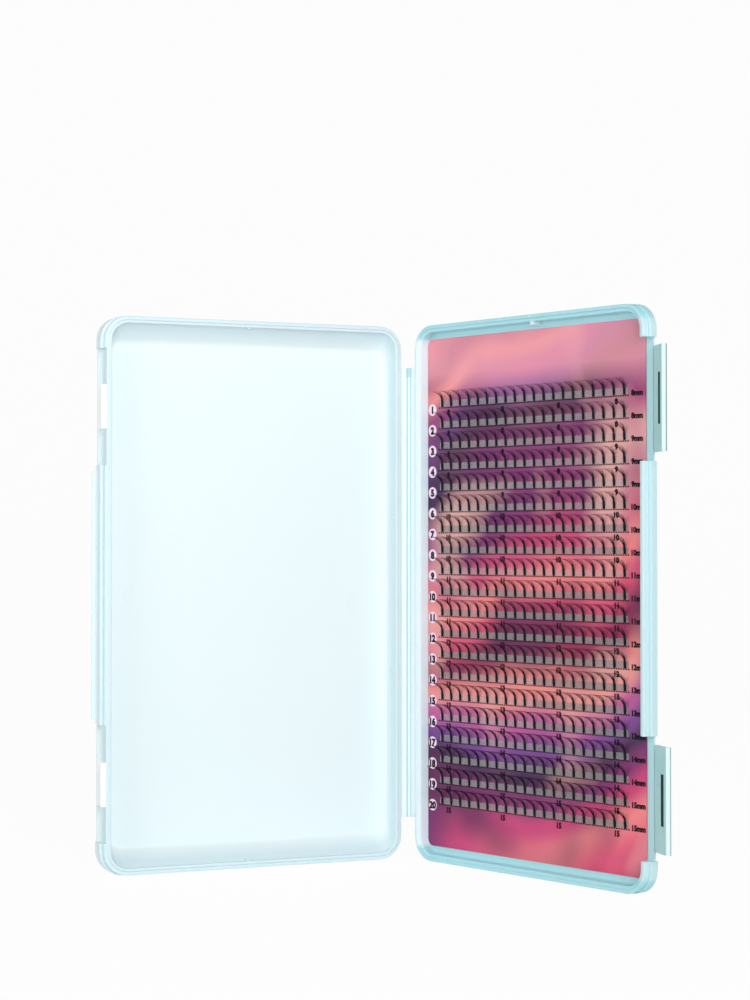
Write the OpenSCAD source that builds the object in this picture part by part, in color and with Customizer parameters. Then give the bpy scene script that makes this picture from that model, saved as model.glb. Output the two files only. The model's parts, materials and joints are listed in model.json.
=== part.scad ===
// False eyelash case: two shallow trays joined by a moulded hinge, open like a book and
// standing on their short edges. The base holds a printed card with rows of lash fans.
// Millimetres. The case stands with +Z up, the base runs along +X from the hinge line,
// and its open side faces -Y.

/* [Case] */
// Height of the case as it stands, from short edge to short edge
case_h = 160; // [150:1:200]
// Width of one tray over its rim, from the hinge side to the free side
case_w = 92.5; // [85:0.5:120]
// Radius of the four outer corners
corner_r = 7; // [5:0.5:7]
// Thickness of the rim and side walls
wall_t = 2; // [1.8:0.1:2.6]
// Thickness of the back plates
floor_t = 0.8; // [0.7:0.05:1]
// Depth of the base tray from its rim to its back
base_depth = 4.7; // [4.5:0.1:6]
// Depth of the lid from its rim to its back
lid_depth = 6.4; // [6.3:0.1:9]
// Angle between the two open sides as the case stands
open_angle = 107.4; // [60:0.1:170]
// Gap between the two rims when the case is closed
rim_gap = 0.1; // [0.06:0.01:0.2]

/* [Rim step] */
// Width of the step inside each rim
step_w = 1; // [0.8:0.1:1.2]
// Height of the raised inner step on the lid's rim
step_h = 0.5; // [0.3:0.05:0.8]
// Play around the step when the case is closed
step_play = 0.15; // [0.1:0.01:0.3]

/* [Free side] */
// How far the outer skin stands out past the rim
skin_out = 1; // [0.9:0.1:1.4]
// Drop from the base's rim to its ledge
base_ledge = 1.9; // [1.5:0.1:2.5]
// Drop from the lid's rim to its ledge
lid_ledge = 1.5; // [1.2:0.1:2.5]
// Distance of each notch from the case's end
notch_from_end = 9.3; // [9:0.1:12]
// Length of a notch
notch_len = 33.6; // [31:0.1:38]
// Depth of the recess in the lid's wall inside a notch
notch_recess = 0.5; // [0.3:0.1:0.8]
// How far the thumb lip stands out past the lid's skin
thumb_out = 1.2; // [0.8:0.1:2]
// Thickness of the thumb lip
thumb_t = 1.2; // [0.8:0.1:1.6]
// Distance of the thumb lip's ends from the notches
thumb_set_in = 1.4; // [0.5:0.1:4]

/* [Hinge] */
// Distance from the hinge line to each tray's wall
hinge_gap = 2.5; // [2:0.1:3.5]
// Distance of the hinge strip's ends from the case's ends
hinge_from_end = 12.3; // [11:0.1:20]
// Thickness of a hinge leaf at the wall
leaf_t = 0.9; // [0.8:0.1:1.3]
// Thickness of a leaf beside the hinge line
film_t = 0.3; // [0.2:0.05:0.3]
// Width of the thin part of a leaf
film_w = 1.1; // [0.9:0.1:1.4]
// Radius of the round bead on the hinge line
bead_r = 0.35; // [0.3:0.01:0.45]
// Running clearance around the beads
bead_play = 0.06; // [0.05:0.01:0.1]

/* [Latches] */
// Length of a latch flap along the case
flap_len = 28.8; // [24:0.1:31]
// Distance from a flap's hinge line to the bend of its lip
flap_reach = 7.6; // [7.2:0.1:8.4]
// Length of the bent lip
lip_len = 1; // [0.8:0.1:1.6]
// Angle of the bent lip
lip_angle = 40; // [20:1:50]
// Thickness of a flap
flap_t = 0.9; // [0.8:0.05:1]
// Gap between a closed flap and the wall
flap_gap = 0.1; // [0.08:0.01:0.2]
// Length of the slot
slot_len = 13.8; // [13:0.1:18]
// How far the upper flap is raised from the base's plane
upper_raised = 32; // [0:1:60]
// How far the lower flap is raised from the base's plane
lower_raised = 25; // [0:1:60]
// Length of a catch along the case
catch_len = 12.6; // [10:0.1:12.8]
// Thickness of a catch's tooth, from the lid's rim backwards
tooth_t = 1; // [0.8:0.1:1.2]
// How far the tooth stands out of the lid's side
tooth_out = 0.9; // [0.6:0.05:0.95]
// Play between the tooth and the slot, on each side
tooth_play = 0.2; // [0.1:0.05:0.3]
// Height of the catch's sloping foot on the lid's back plate
foot_h = 1; // [0.5:0.1:1.2]

/* [Card] */
// Play between the card and each side wall
card_play = 0.3; // [0.3:0.05:0.8]
// Gap from the lower end of the case to the card
card_from_bottom = 4.1; // [4:0.1:6]
// Gap from the upper end of the case to the card
card_from_top = 3.9; // [3.9:0.1:6]
// Radius of the card's corners
card_corner_r = 2; // [2:0.1:4]
// Thickness of the card
card_t = 0.3; // [0.2:0.05:0.5]
// Thickness of the double-sided tape under the card
tape_t = 0.1; // [0.05:0.01:0.2]
// Width of one piece of tape
tape_w = 10; // [5:1:20]
// Distance of the tape from the card's edges
tape_set_in = 6; // [3:1:20]

/* [Lashes] */
// Number of fans in a row
fans = 20; // [10:1:20]
// Height of the lowest row above the case's lower end
row_from_bottom = 17; // [12:0.1:25]
// Distance between rows
row_pitch = 6.24; // [5.9:0.01:6.8]
// Distance from the hinge side wall's outer face to the first fan
fan_from_hinge = 9; // [8:0.05:10]
// Distance between fans
fan_pitch = 3.88; // [3:0.01:4]
// Length of a strip past its first and last fans
strip_past = 1.1; // [1:0.1:3]
// Height of an adhesive strip
strip_h = 1.9; // [1.5:0.1:2.4]
// Thickness of an adhesive strip
strip_t = 0.3; // [0.1:0.05:0.4]
// Width of a fan's bonded base
fan_w = 0.5; // [0.3:0.05:0.9]
// Thickness of the hairs of a fan together
hair_t = 0.25; // [0.15:0.05:0.35]
// Radius of the curl
curl_r = 3; // [2.4:0.1:3.2]
// How far the shortest fans stand out of the strip
shortest_out = 4.3; // [4:0.1:5]
// How far the longest fans stand out of the strip
longest_out = 7; // [5.5:0.1:7]

/* [Hidden] */
$fn = 64;

rows = 20;                                // one row for each strip and row node
white = "#eafafa";
cut = 1;                                  // how far a cut runs past the face it opens
free_x = hinge_gap + case_w;              // face of the rim on the free side
inner_x0 = hinge_gap + wall_t;
inner_x1 = free_x - wall_t;
rim_z = -rim_gap / 2;                     // rim of either tray, below the parting plane
upper_notch_y = case_h - notch_from_end - notch_len;
lower_notch_y = notch_from_end;
hinge_len = case_h - 2 * hinge_from_end;
leaf_z = rim_z - leaf_t;
axis_out = flap_gap + flap_t - bead_r;    // a flap's hinge line, out of the rim's face
flap_axis_x = free_x + axis_out;
flap_axis_z = -base_depth + bead_r;
flap_front = flap_t - bead_r;             // front face of a flap above its hinge line
root_gap = bead_r / 2;
slot_w = tooth_t + 2 * tooth_play;
slot_at = tooth_t / 2 - rim_z - flap_axis_z;  // meets the tooth when the flap is closed
floor_z = -base_depth + floor_t;
card_back_z = floor_z + tape_t;
card_z = card_back_z + card_t;
card_x0 = inner_x0 + card_play;
card_x1 = inner_x1 - card_play;
card_y1 = case_h - card_from_top;
strip_z = card_z + strip_t;

function two(n) = n < 10 ? str("0", n) : str(n);
function row_y(n) = row_from_bottom + (rows - n) * row_pitch;
// Rows 1 to 20 carry lengths 8 to 15, and a longer fan stands out further.
function row_out(n) = shortest_out + (longest_out - shortest_out) * (n - 1) / (rows - 1);

// The trays are drawn lying on their backs: x across from the hinge line, y along the
// case, z towards the open side, with the parting plane at z = 0. This stands such a
// drawing up, with the origin in the middle of the base's lower edge.
module stand(swing = 0) {
  translate([-hinge_gap - case_w / 2, -base_depth / 2, 0]) rotate([0, 0, swing])
    rotate([90, 0, 0]) children();
}

// A lid drawn like the base is the base's mirror image, swung about the hinge line.
module swing_lid() {
  stand(180 - open_angle) mirror([1, 0, 0]) children();
}

// Rectangle with round corners, given by its sides.
module round_rect(x0, x1, y0, y1, r) {
  translate([x0 + r, y0]) square([x1 - x0 - 2 * r, y1 - y0]);
  translate([x0, y0 + r]) square([x1 - x0, y1 - y0 - 2 * r]);
  for (x = [x0 + r, x1 - r], y = [y0 + r, y1 - r])
    translate([x, y]) circle(r);
}

// Outline of the inside of a tray, grown by the given amount.
module inside(grow = 0) {
  round_rect(inner_x0 - grow, inner_x1 + grow, wall_t - grow, case_h - wall_t + grow,
             corner_r - wall_t + grow);
}

// Closed block of a tray: the rim's body, and the wider skin behind the ledge.
module tray_block(depth, ledge) {
  translate([0, 0, -depth]) {
    linear_extrude(depth + rim_z)
      round_rect(hinge_gap, free_x, 0, case_h, corner_r);
    linear_extrude(depth - ledge)
      round_rect(hinge_gap, free_x + skin_out, 0, case_h, corner_r);
  }
}

module base_tray() {
  color(white) stand() difference() {
    tray_block(base_depth, base_ledge);
    translate([0, 0, floor_z]) linear_extrude(base_depth) inside();
    translate([0, 0, rim_z - step_h - step_play]) linear_extrude(base_depth) inside(step_w);
    for (y = [lower_notch_y, upper_notch_y]) {
      // The wall is open down to the back plate, and the skin is cut right through.
      translate([inner_x1 - cut, y, floor_z])
        cube([wall_t + skin_out + 2 * cut, notch_len, base_depth]);
      translate([free_x, y, -base_depth - cut])
        cube([skin_out + cut, notch_len, base_depth + cut]);
    }
  }
}

module lid_shell() {
  color(white) swing_lid() {
    difference() {
      union() {
        tray_block(lid_depth, lid_ledge);
        // Raised inner step that drops into the base's rim.
        translate([0, 0, -lid_ledge]) linear_extrude(lid_ledge + rim_z + step_h)
          inside(step_w - step_play);
        // Thumb lip along the middle of the free side.
        translate([free_x, lower_notch_y + notch_len + thumb_set_in, -lid_depth])
          cube([skin_out + thumb_out,
                case_h - 2 * (notch_from_end + notch_len + thumb_set_in), thumb_t]);
      }
      translate([0, 0, -lid_depth + floor_t]) linear_extrude(lid_depth + step_h) inside();
      for (y = [lower_notch_y, upper_notch_y]) {
        translate([free_x - notch_recess, y, -lid_depth + floor_t])
          cube([notch_recess + skin_out + cut, notch_len, lid_depth]);
        translate([free_x + skin_out - notch_recess, y, -lid_depth - cut])
          cube([notch_recess + cut, notch_len, floor_t + 2 * cut]);
      }
    }
  }
}

// One leaf of the moulded hinge: full thickness at the wall, thin beside the hinge line.
module leaf_plate() {
  translate([film_w, hinge_from_end, leaf_z])
    cube([hinge_gap - film_w, hinge_len, leaf_t]);
  translate([bead_r / 2, hinge_from_end, rim_z - film_t])
    cube([film_w - bead_r / 2, hinge_len, film_t]);
}

module hinge_bead(r) {
  translate([0, hinge_from_end, 0]) rotate([-90, 0, 0]) cylinder(r = r, h = hinge_len);
}

module base_hinge_leaf() {
  color(white) stand() {
    leaf_plate();
    hinge_bead(bead_r);
  }
}

module lid_hinge_leaf() {
  color(white) swing_lid() difference() {
    leaf_plate();
    hinge_bead(bead_r + bead_play);
  }
}

// Side view of a catch: a pad on the recessed wall, a ramped tooth along the rim and a
// sloping foot on the back plate.
module catch_profile() {
  tooth_x = notch_recess + tooth_out;
  plate_z = -lid_depth + floor_t;
  polygon([[0, plate_z], [0, rim_z], [notch_recess, rim_z],
           [tooth_x, rim_z - 0.7 * tooth_t], [tooth_x, rim_z - tooth_t],
           [notch_recess, rim_z - tooth_t], [notch_recess, plate_z + foot_h],
           [skin_out, plate_z]]);
}

module lid_catch(notch_y) {
  y = notch_y + (notch_len + catch_len) / 2;
  color(white) swing_lid() translate([free_x - notch_recess, y, 0])
    rotate([90, 0, 0]) linear_extrude(catch_len) catch_profile();
}

// Side view of a flap that lies in line with the back plate: a flat plate and a bent lip.
module flap_profile() {
  bend = [flap_reach, flap_front];
  tip = bend + lip_len * [cos(lip_angle), -sin(lip_angle)];
  polygon([[root_gap, -bead_r],
           [flap_reach - flap_t * tan(lip_angle / 2), -bead_r],
           tip - flap_t * [sin(lip_angle), cos(lip_angle)],
           tip, bend, [root_gap, flap_front]]);
}

// Latch flap, drawn about its hinge line.
module flap(notch_y, raised) {
  y = notch_y + (notch_len - flap_len) / 2;
  color(white) stand() translate([flap_axis_x, y, flap_axis_z]) rotate([0, -raised, 0])
    difference() {
      translate([0, flap_len, 0]) rotate([90, 0, 0]) linear_extrude(flap_len)
        flap_profile();
      translate([0, -cut, 0]) rotate([-90, 0, 0])
        cylinder(r = bead_r + bead_play, h = flap_len + 2 * cut);
      translate([slot_at - slot_w / 2, (flap_len - slot_len) / 2, -flap_t])
        cube([slot_w, slot_len, 3 * flap_t]);
    }
}

// Round film that joins a flap to the back plate.
module flap_film(notch_y) {
  y = notch_y + (notch_len - flap_len) / 2;
  color(white) stand() {
    translate([flap_axis_x, y, flap_axis_z]) rotate([-90, 0, 0])
      cylinder(r = bead_r, h = flap_len);
    translate([free_x, y, flap_axis_z - film_t / 4])
      cube([axis_out, flap_len, film_t / 2]);
  }
}

module lash_card() {
  color("#e07a8c") stand() translate([0, 0, card_back_z]) linear_extrude(card_t)
    round_rect(card_x0, card_x1, card_from_bottom, card_y1, card_corner_r);
}

module card_tape() {
  color("#f4f1e6") stand()
    for (x = [card_x0 + tape_set_in, card_x1 - tape_set_in - tape_w])
      translate([x, card_from_bottom + tape_set_in, floor_z])
        cube([tape_w, card_y1 - card_from_bottom - 2 * tape_set_in, tape_t]);
}

module lash_strip(n) {
  color("#b9bcb8") stand()
    translate([hinge_gap + fan_from_hinge - strip_past, row_y(n), card_z])
      cube([(fans - 1) * fan_pitch + 2 * strip_past, strip_h, strip_t]);
}

// Side view of one fan: x is the distance out of the strip, y the height.
module fan_profile(out) {
  square([hair_t, strip_h]);
  translate([curl_r, strip_h]) intersection() {
    difference() {
      circle(curl_r);
      circle(curl_r - hair_t);
    }
    translate([-curl_r, 0]) square(curl_r);
  }
  translate([curl_r, strip_h + curl_r - hair_t]) square([out - curl_r, hair_t]);
}

module lash_row(n) {
  color("#15161a") stand() for (i = [0 : fans - 1])
    translate([hinge_gap + fan_from_hinge + i * fan_pitch + fan_w / 2, row_y(n), strip_z])
      rotate([0, -90, 0]) linear_extrude(fan_w) fan_profile(row_out(n));
}

base_tray();
base_hinge_leaf();
lid_shell();
lid_hinge_leaf();
lid_catch(upper_notch_y);  // lid_catch_upper
lid_catch(lower_notch_y);  // lid_catch_lower
flap(upper_notch_y, upper_raised);  // latch_upper
flap_film(upper_notch_y);  // latch_film_upper
flap(lower_notch_y, lower_raised);  // latch_lower
flap_film(lower_notch_y);  // latch_film_lower
lash_card();
card_tape();
for (n = [1 : rows])
  lash_strip(n);
for (n = [1 : rows])
  lash_row(n);
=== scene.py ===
"""False eyelash case, open like a book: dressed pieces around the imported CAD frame."""

from __future__ import annotations

import functools
import json
import logging
import math
import random
from dataclasses import dataclass, field
from enum import Enum
from typing import Any, Iterable, Sequence

import bmesh
import bpy
from mathutils import Matrix, Vector

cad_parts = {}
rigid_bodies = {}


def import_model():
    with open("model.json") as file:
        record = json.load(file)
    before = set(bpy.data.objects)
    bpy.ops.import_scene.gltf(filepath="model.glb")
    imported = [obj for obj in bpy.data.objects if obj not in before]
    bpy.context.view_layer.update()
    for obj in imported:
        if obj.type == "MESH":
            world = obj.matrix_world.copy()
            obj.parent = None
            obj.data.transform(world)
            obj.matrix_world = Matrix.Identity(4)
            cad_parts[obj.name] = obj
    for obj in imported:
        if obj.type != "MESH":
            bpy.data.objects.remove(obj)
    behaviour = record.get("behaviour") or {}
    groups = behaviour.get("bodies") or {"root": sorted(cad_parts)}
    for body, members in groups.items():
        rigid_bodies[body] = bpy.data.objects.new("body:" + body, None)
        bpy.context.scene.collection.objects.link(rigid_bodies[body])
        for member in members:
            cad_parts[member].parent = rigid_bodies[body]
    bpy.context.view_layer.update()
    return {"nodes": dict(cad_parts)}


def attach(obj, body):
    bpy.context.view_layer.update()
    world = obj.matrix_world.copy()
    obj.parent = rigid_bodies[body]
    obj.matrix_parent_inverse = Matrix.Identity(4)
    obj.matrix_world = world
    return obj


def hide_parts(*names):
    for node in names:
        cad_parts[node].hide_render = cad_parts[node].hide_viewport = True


LOG = logging.getLogger("eyelash_case")
MM = 0.001
Colour = tuple[float, float, float]
Point = tuple[float, float, float]
Flat = tuple[float, float]
Glyph = tuple[list[Flat], list[tuple[int, ...]], float]


# Sizes and places


@dataclass(frozen=True)
class Placement:
    """Turns a point of a tray that lies on its back into the standing case."""

    hinge: Flat
    across: Flat
    out: Flat

    def at(self, x: float, y: float, z: float) -> Vector:
        """Point in the row frame.

        Args:
            x: Distance from the hinge line across the tray, in mm.
            y: Height along the case, in mm.
            z: Distance out of the parting plane, in mm.

        Returns:
            The point in metres.
        """
        return MM * Vector(
            (
                self.hinge[0] + self.across[0] * x + self.out[0] * z,
                self.hinge[1] + self.across[1] * x + self.out[1] * z,
                y,
            )
        )


class Span(Enum):
    """What the free side does over a stretch of the case's length."""

    PLAIN = "plain"
    NOTCH = "notch"
    LIP = "lip"


@dataclass(frozen=True)
class CaseSizes:
    """Sizes that several pieces share, as in the part's source: mm, and degrees for angles."""

    length: float = 160.0
    width: float = 92.5
    hinge_gap: float = 2.5
    corner: float = 7.0
    wall: float = 2.0
    floor: float = 0.8
    rim_z: float = -0.05
    skin: float = 1.0
    notch_from_end: float = 9.3
    notch_len: float = 33.6
    lip_set_in: float = 1.4
    step_w: float = 1.0
    step_h: float = 0.5
    step_play: float = 0.15
    open_angle: float = 107.4
    base_depth: float = 4.7
    lid_depth: float = 6.4
    film_r: float = 0.35
    flap_axis_out: float = 0.65
    flap_slot_len: float = 13.8
    tape_t: float = 0.1
    card_t: float = 0.3
    strip_t: float = 0.3
    upper_raised: float = 32.0
    lower_raised: float = 25.0

    @property
    def free_x(self) -> float:
        """Face of the rim on the free side."""
        return self.hinge_gap + self.width

    @property
    def hinge(self) -> Flat:
        """The hinge line in plan, in the row frame."""
        return (-(self.hinge_gap + self.width / 2), -self.base_depth / 2)

    @property
    def flap_axis(self) -> Flat:
        """The flaps' hinge line in plan, in the row frame."""
        return (self.width / 2 + self.flap_axis_out, self.base_depth / 2 - self.film_r)

    @property
    def card_z(self) -> float:
        """Printed face of the card."""
        return self.floor - self.base_depth + self.tape_t + self.card_t

    @property
    def base_place(self) -> Placement:
        """Placement of what is drawn in the base."""
        return Placement(self.hinge, (1.0, 0.0), (0.0, -1.0))

    @property
    def lid_place(self) -> Placement:
        """Placement of what is drawn in the lid.

        Returns:
            The placement, swung about the hinge line by the opening's angle.
        """
        turn = math.radians(180.0 - self.open_angle)
        return Placement(
            self.hinge,
            (-math.cos(turn), -math.sin(turn)),
            (math.sin(turn), -math.cos(turn)),
        )

    @property
    def lower_notch(self) -> Flat:
        """Lower and upper end of the lower notch."""
        return (self.notch_from_end, self.notch_from_end + self.notch_len)

    @property
    def upper_notch(self) -> Flat:
        """Lower and upper end of the upper notch."""
        low, high = self.lower_notch
        return (self.length - high, self.length - low)

    @property
    def stops(self) -> list[tuple[float, Span, Span]]:
        """Heights where the free side changes.

        Returns:
            Each height with what the free side does below and above it.
        """
        low, high = self.lower_notch
        lip = high + self.lip_set_in
        top = self.length
        return [
            (low, Span.PLAIN, Span.NOTCH),
            (high, Span.NOTCH, Span.PLAIN),
            (lip, Span.PLAIN, Span.LIP),
            (top - lip, Span.LIP, Span.PLAIN),
            (top - high, Span.PLAIN, Span.NOTCH),
            (top - low, Span.NOTCH, Span.PLAIN),
        ]


SIZES = CaseSizes()


# Shader maths


class Sock:
    """An output socket that takes part in Python expressions."""

    def __init__(self, sheet: "NodeSheet", socket: bpy.types.NodeSocket) -> None:
        """Wraps a socket.

        Args:
            sheet: The sheet that the socket's node is on.
            socket: The output socket.
        """
        self.sheet = sheet
        self.socket = socket

    def _math(self, operation: str, first: "Sock | float", second: "Sock | float") -> "Sock":
        """Adds one Math node.

        Args:
            operation: The Math node's operation.
            first: The first operand.
            second: The second operand.

        Returns:
            The node's value.
        """
        return self.sheet.node(
            "ShaderNodeMath", {"operation": operation}, {0: first, 1: second}
        )

    def __add__(self, other: "Sock | float") -> "Sock":
        """Value plus other."""
        return self._math("ADD", self, other)

    def __radd__(self, other: float) -> "Sock":
        """Other plus value."""
        return self._math("ADD", other, self)

    def __sub__(self, other: "Sock | float") -> "Sock":
        """Value minus other."""
        return self._math("SUBTRACT", self, other)

    def __rsub__(self, other: float) -> "Sock":
        """Other minus value."""
        return self._math("SUBTRACT", other, self)

    def __mul__(self, other: "Sock | float") -> "Sock":
        """Value times other."""
        return self._math("MULTIPLY", self, other)

    def __rmul__(self, other: float) -> "Sock":
        """Other times value."""
        return self._math("MULTIPLY", other, self)

    def __truediv__(self, other: "Sock | float") -> "Sock":
        """Value over other."""
        return self._math("DIVIDE", self, other)

    def most(self, other: "Sock | float") -> "Sock":
        """The larger of the two values."""
        return self._math("MAXIMUM", self, other)

    def held(self, limit: float = 1.0) -> "Sock":
        """The value held between 0 and a limit."""
        return self._math("MINIMUM", self.most(0.0), limit)

    def between(self, low: float, high: float) -> "Sock":
        """Goes from low, where this value is 0, to high, where it is 1."""
        return low + (high - low) * self

    def sine(self) -> "Sock":
        """Sine of the value."""
        return self._math("SINE", self, 0.0)

    def size(self) -> "Sock":
        """The value without its sign."""
        return self._math("ABSOLUTE", self, 0.0)

    def root(self) -> "Sock":
        """Square root of the value."""
        return self._math("SQRT", self, 0.0)

    def fraction(self) -> "Sock":
        """What the value is over the whole number below it."""
        return self._math("FRACT", self, 0.0)


class NodeSheet:
    """The node tree of one material or world, built from plain calls."""

    def __init__(self, owner: bpy.types.Material | bpy.types.World) -> None:
        """Empties the owner's tree.

        Args:
            owner: The material or world to fill.
        """
        owner.use_nodes = True
        self.tree = owner.node_tree
        self.tree.nodes.clear()

    def node(
        self,
        kind: str,
        settings: dict[str, Any] | None = None,
        sockets: dict[str | int, Any] | None = None,
        out: str | int = 0,
    ) -> Sock:
        """Adds a node, applies its settings and then fills its sockets.

        Args:
            kind: The node's type name.
            settings: Attributes by name; "stops" holds a colour ramp's stops.
            sockets: Values or links by input name or index.
            out: The output to return.

        Returns:
            The chosen output.
        """
        made = self.tree.nodes.new(kind)
        for name, value in (settings or {}).items():
            if name == "stops":
                ramp = made.color_ramp
                while len(ramp.elements) < len(value):
                    ramp.elements.new(1.0)
                for element, (position, colour) in zip(ramp.elements, value):
                    element.position = position
                    element.color = (*colour, 1.0)
            elif name == "interpolation":
                made.color_ramp.interpolation = value
            else:
                setattr(made, name, value)
        for key, value in (sockets or {}).items():
            target = made.inputs[key]
            if isinstance(value, Sock):
                self.tree.links.new(value.socket, target)
            elif isinstance(value, tuple) and target.type == "RGBA":
                target.default_value = (*value, 1.0)
            else:
                target.default_value = value
        return Sock(self, made.outputs[out])

    def place(self) -> Sock:
        """Position on the piece in its own frame, in metres."""
        return self.node("ShaderNodeTexCoord", out="Object")

    def ray(self, kind: str) -> Sock:
        """1 where the ray is of a kind, such as Is Camera Ray, or else 0."""
        return self.node("ShaderNodeLightPath", out=kind)

    def noise(self, where: Sock, scale: float, detail: float = 2.0) -> Sock:
        """Noise value at a place.

        Args:
            where: The position.
            scale: Cycles per metre.
            detail: Octaves.

        Returns:
            Noise from 0 to 1.
        """
        return self.node(
            "ShaderNodeTexNoise", {}, {"Vector": where, "Scale": scale, "Detail": detail}
        )

    def axis(self, where: Sock, name: str) -> Sock:
        """One coordinate of a position.

        Args:
            where: The position.
            name: X, Y or Z.

        Returns:
            The coordinate, in metres.
        """
        return self.node("ShaderNodeSeparateXYZ", {}, {0: where}, name)

    def mm(self, where: Sock, name: str) -> Sock:
        """One coordinate of a position, in mm."""
        return self.axis(where, name) / MM

    def mix(self, factor: Sock | float, first: Sock | Colour, second: Sock | Colour) -> Sock:
        """Mixes two colours.

        Args:
            factor: Share of the second colour.
            first: The first colour.
            second: The second colour.

        Returns:
            The mixed colour.
        """
        return self.node(
            "ShaderNodeMix", {"data_type": "RGBA"}, {0: factor, 6: first, 7: second}, 2
        )

    def bump(self, height: Sock, strength: float, distance: float) -> Sock:
        """Normal that follows a height.

        Args:
            height: The height value.
            strength: Strength from 0 to 1.
            distance: Height of one unit, in metres.

        Returns:
            The bent normal.
        """
        return self.node(
            "ShaderNodeBump", {}, {"Height": height, "Strength": strength, "Distance": distance}
        )

    def surface(self, colour: Sock, roughness: Sock, normal: Sock, **more: float) -> Sock:
        """A Principled surface.

        Args:
            colour: Its colour.
            roughness: Its roughness.
            normal: Its normal.
            more: Values of other sockets; a socket's spaces are underscores.

        Returns:
            The surface's shader.
        """
        sockets = {"Base Color": colour, "Roughness": roughness, "Normal": normal}
        sockets.update({name.replace("_", " "): value for name, value in more.items()})
        return self.node("ShaderNodeBsdfPrincipled", {}, sockets)

    def moulded(self, where: Sock, colour: Sock, roughness: Sock) -> Sock:
        """Polypropylene with the fine skin of a mould.

        Args:
            where: The position.
            colour: Its colour.
            roughness: Its roughness.

        Returns:
            The surface's shader.
        """
        skin = self.bump(self.noise(where, scale=1400.0), strength=0.05, distance=0.0002)
        return self.surface(colour, roughness, skin, IOR=1.49, Specular_IOR_Level=0.4)

    def finish(self, shader: Sock, output: str = "ShaderNodeOutputMaterial") -> None:
        """Links a shader to a new output node.

        Args:
            shader: The shader to show.
            output: Type name of the output node.
        """
        made = self.tree.nodes.new(output)
        self.tree.links.new(shader.socket, made.inputs[0])


# Finishes


@dataclass(frozen=True)
class Coat:
    """A finish that is one material. Each kind of finish says how it is painted."""

    name: str

    def build(self) -> bpy.types.Material:
        """Makes the material.

        Returns:
            The finished material.
        """
        material = bpy.data.materials.new(self.name)
        sheet = NodeSheet(material)
        sheet.finish(self.paint(sheet, sheet.place()))
        return material

    def paint(self, sheet: NodeSheet, where: Sock) -> Sock:
        """Paints the finish.

        Args:
            sheet: The material's sheet.
            where: Position on the piece.

        Returns:
            The shader to show.
        """
        raise NotImplementedError


@dataclass(frozen=True)
class Tint:
    """Colour that takes over along an axis, between two places given in mm."""

    colour: Colour
    axis: str
    starts: float
    full: float
    spans: tuple[Flat, ...] = ()
    span_edge: float = 0.3

    def over(self, sheet: NodeSheet, where: Sock, below: Sock) -> Sock:
        """Lays the tint over a colour.

        Args:
            sheet: The material's sheet.
            where: The position.
            below: The colour below.

        Returns:
            The mixed colour.
        """
        share = (sheet.mm(where, self.axis) - self.starts) / (self.full - self.starts)
        share = share.held()
        if self.spans:
            height = sheet.mm(where, "Z")
            inside = [
                (0.5 * (high - low) - (height - 0.5 * (high + low)).size()) / self.span_edge
                for low, high in self.spans
            ]
            share = share * functools.reduce(Sock.most, inside).held()
        return sheet.mix(share, below, self.colour)


@dataclass(frozen=True)
class MouldedPlastic(Coat):
    """Satin plastic of a tray with painted light: paler where it is thin, at its floor and back,
    and darker towards its rim as painted shade.

    The two z values are places out of the parting plane, in mm, where the colour is wholly
    the painted light of thin and the painted shade of thick.
    """

    # thin is the colour with painted light at the floor and back; thick the colour with painted
    # shade towards the rim.
    thin: Colour
    thick: Colour
    place: Placement
    thin_z: float
    thick_z: float
    tints: tuple[Tint, ...] = ()
    flow_share: float = 0.1
    rough: Flat = (0.30, 0.42)

    def paint(self, sheet: NodeSheet, where: Sock) -> Sock:
        """Paints the plastic.

        Args:
            sheet: The material's sheet.
            where: Position on the piece.

        Returns:
            The shader to show.
        """
        out, hinge = self.place.out, self.place.hinge
        lit_floor_at = out[0] * hinge[0] + out[1] * hinge[1] + self.thin_z
        along = sheet.mm(where, "X") * out[0] + sheet.mm(where, "Y") * out[1] - lit_floor_at
        # Painted light towards the floor and back, painted shade towards the rim.
        share = (along / (self.thick_z - self.thin_z)).held()
        colour = sheet.mix(share, self.thin, self.thick)
        flow = sheet.noise(where, scale=45.0, detail=3.0)
        colour = sheet.mix(flow * self.flow_share, colour, self.thick)
        for tint in self.tints:
            colour = tint.over(sheet, where, colour)
        handled = sheet.noise(where, scale=160.0, detail=4.0)
        return sheet.moulded(where, colour, handled.between(*self.rough))


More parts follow.
